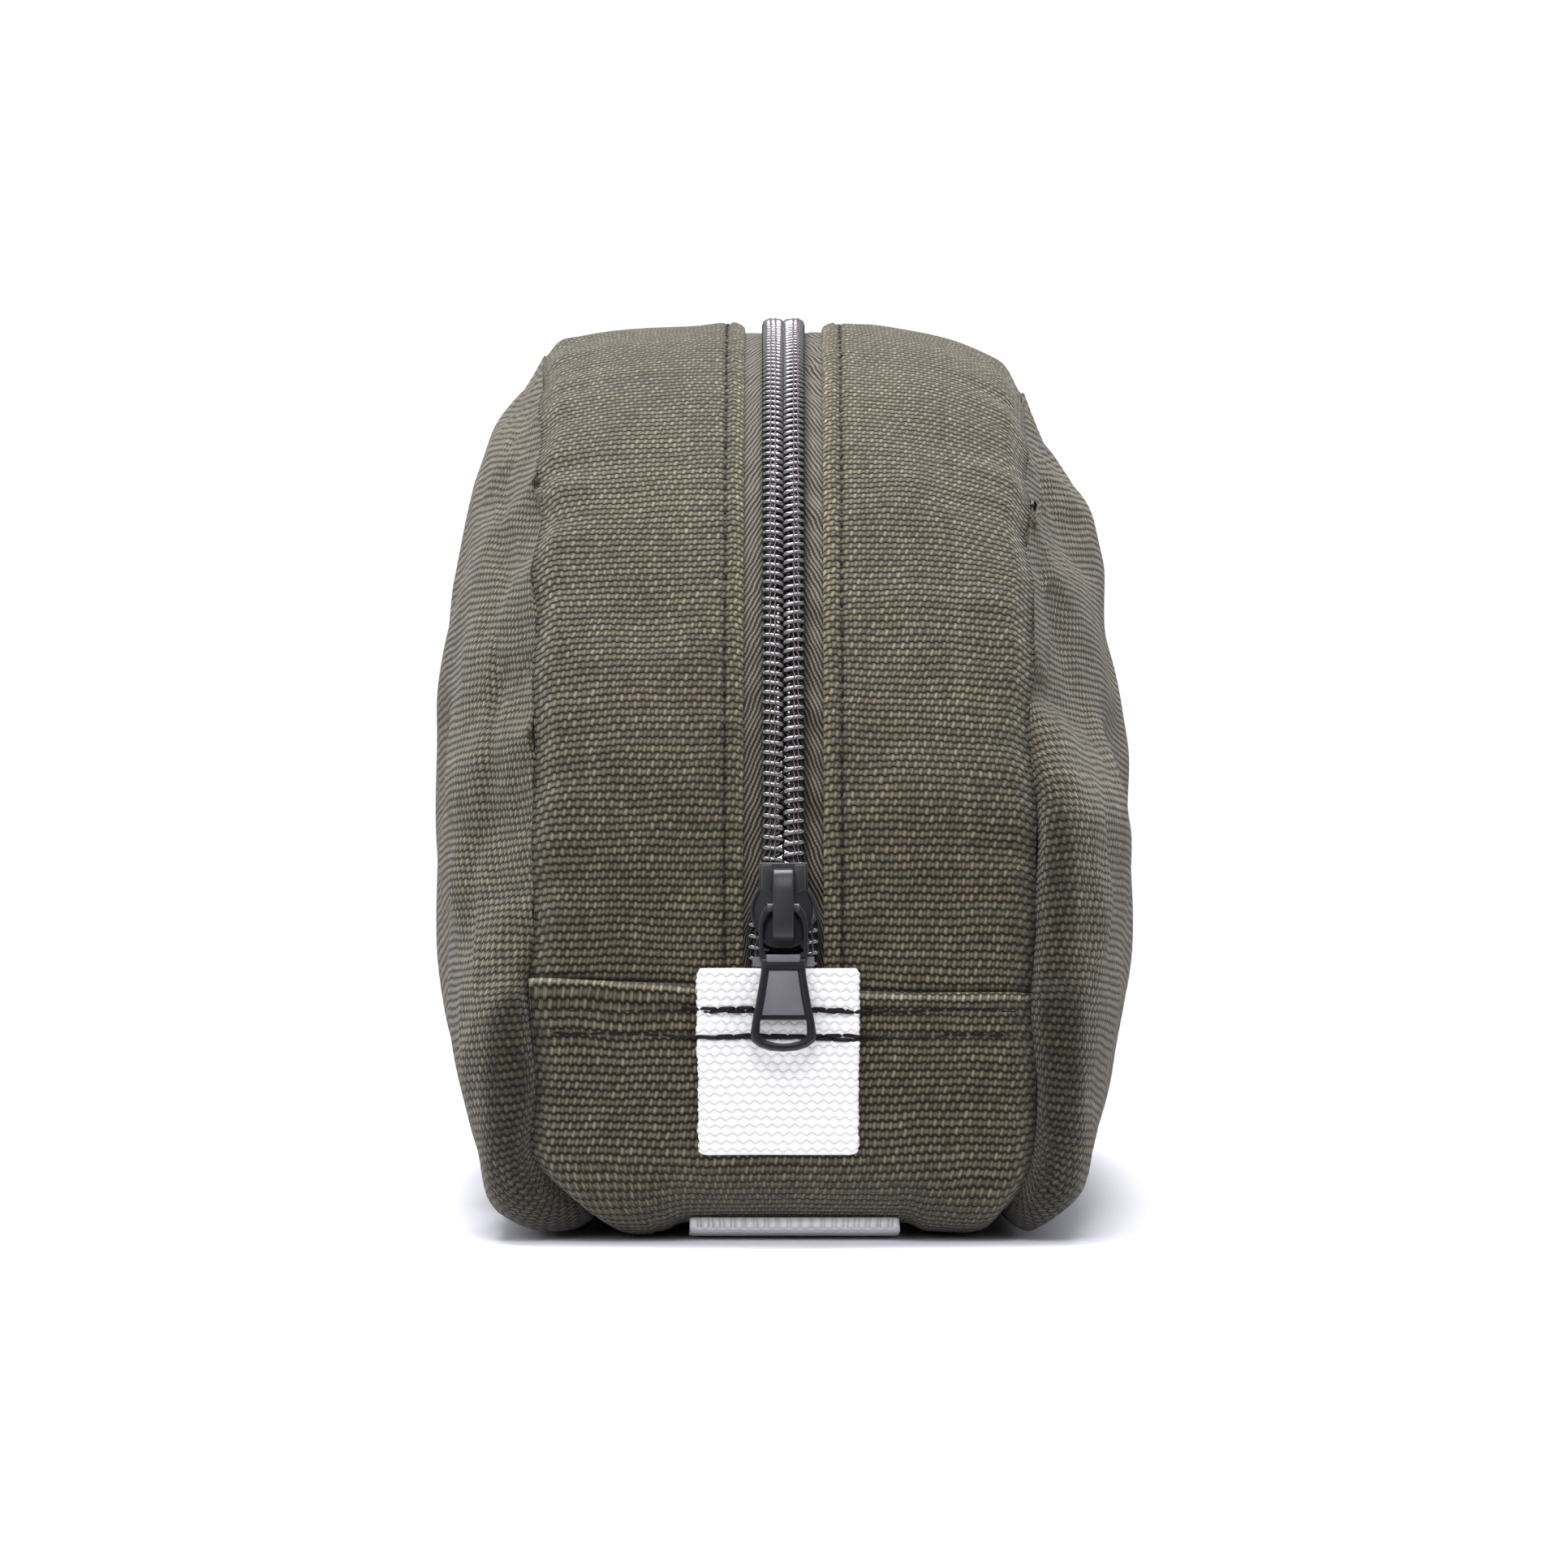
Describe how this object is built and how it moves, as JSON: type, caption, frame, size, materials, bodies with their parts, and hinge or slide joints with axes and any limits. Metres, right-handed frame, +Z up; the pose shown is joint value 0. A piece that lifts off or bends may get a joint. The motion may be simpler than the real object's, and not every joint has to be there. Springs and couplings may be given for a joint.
{
  "type": "cable organizer pouch",
  "caption": "Boat-shaped canvas zip pouch for cables and chargers: bulging side walls, arched zip top, webbing grip tabs, lined inside with cable loops and a pocket.",
  "frame": {"origin": "on the ground, in the middle of the pouch's length and width", "axes": "+X across the width, to the right when seen from the closed zip end; +Y along the length, from the closed zip end to the other; +Z up"},
  "size_m": [0.1104, 0.2409, 0.1406],
  "materials": {
    "olive_canvas": "plain weave heavy cotton canvas, khaki olive",
    "lining_cloth": "smooth twill lining",
    "white_webbing": "white cotton webbing, herringbone",
    "dark_thread": "dark bonded sewing thread",
    "zip_tape": "woven herringbone zip tape, olive",
    "zip_coil": "dark nylon coil, satin",
    "gunmetal": "gunmetal plated zinc, satin",
    "binding_tape": "grosgrain binding tape",
    "black_elastic": "knitted elastic"
  },
  "bodies": {
    "base": {"bottom_webbing": "white_webbing", "front_tab_sewn_end": "white_webbing", "lap_stitching_front": "dark_thread", "lap_stitching_rear": "dark_thread", "lower_gusset": "olive_canvas", "lower_gusset_lining": "lining_cloth", "rear_tab_sewn_end": "white_webbing", "zip_bottom_stop": "gunmetal", "zip_top_stops": "gunmetal"},
    "left_wall": {"elastic_backing": "black_elastic", "elastic_cable_loops": "black_elastic", "gusset_lining_left": "lining_cloth", "seam_binding_left": "binding_tape", "side_lining_left": "lining_cloth", "side_panel_left": "olive_canvas", "zip_coil_left": "zip_coil", "zip_gusset_left": "olive_canvas", "zip_tape_left": "zip_tape", "zip_topstitch_left": "dark_thread"},
    "right_wall": {"gusset_lining_right": "lining_cloth", "seam_binding_right": "binding_tape", "side_lining_right": "lining_cloth", "side_panel_right": "olive_canvas", "slip_pocket": "lining_cloth", "slip_pocket_binding": "binding_tape", "zip_coil_right": "zip_coil", "zip_gusset_right": "olive_canvas", "zip_tape_right": "zip_tape", "zip_topstitch_right": "dark_thread"},
    "zip_slider": {"slider_body": "gunmetal", "slider_crown": "gunmetal"},
    "lock_pawl": {"lock_pawl": "gunmetal"},
    "pull_tab": {"pull_tab": "gunmetal"},
    "front_grip_tab": {"front_grip_tab": "white_webbing"},
    "rear_grip_tab": {"rear_grip_tab": "white_webbing"}
  },
  "joints": [
    {"name": "zip_travel", "type": "hinge", "parent": "base", "child": "zip_slider", "pos_m": [0, 0, 0.024], "axis": [-1, 0, 0], "range_deg": [0, 150]},
    {"name": "pull_tab_swing", "type": "hinge", "parent": "zip_slider", "child": "pull_tab", "pos_m": [0, -0.11634, 0.05129], "axis": [-1, 0, 0], "range_deg": [0, 170]},
    {"name": "lock_pawl_lift", "type": "slide", "parent": "zip_slider", "child": "lock_pawl", "axis": [0, -0.9736, 0.2284], "range_m": [0, 0.0006]},
    {"name": "mouth_open_left", "type": "hinge", "parent": "base", "child": "left_wall", "pos_m": [-0.03875, 0, 0.0015], "axis": [0, -1, 0], "range_deg": [0, 10], "deforming": ["zip_tape_left", "zip_coil_left"]},
    {"name": "mouth_open_right", "type": "hinge", "parent": "base", "child": "right_wall", "pos_m": [0.03875, 0, 0.0015], "axis": [0, 1, 0], "range_deg": [0, 10], "deforming": ["zip_tape_right", "zip_coil_right"]},
    {"name": "front_grip_tab_flip", "type": "hinge", "parent": "base", "child": "front_grip_tab", "pos_m": [0, -0.1187, 0.0275], "axis": [-1, 0, 0], "range_deg": [0, 85]},
    {"name": "rear_grip_tab_flip", "type": "hinge", "parent": "base", "child": "rear_grip_tab", "pos_m": [0, 0.1187, 0.0275], "axis": [1, 0, 0], "range_deg": [0, 85]}
  ],
  "couplings": [
    {"joint": "mouth_open_left", "follows": "zip_travel", "ratio": 0.0666},
    {"joint": "mouth_open_right", "follows": "zip_travel", "ratio": 0.0666},
    {"joint": "lock_pawl_lift", "follows": "pull_tab_swing", "m_per_rad": 0.00020202}
  ]
}
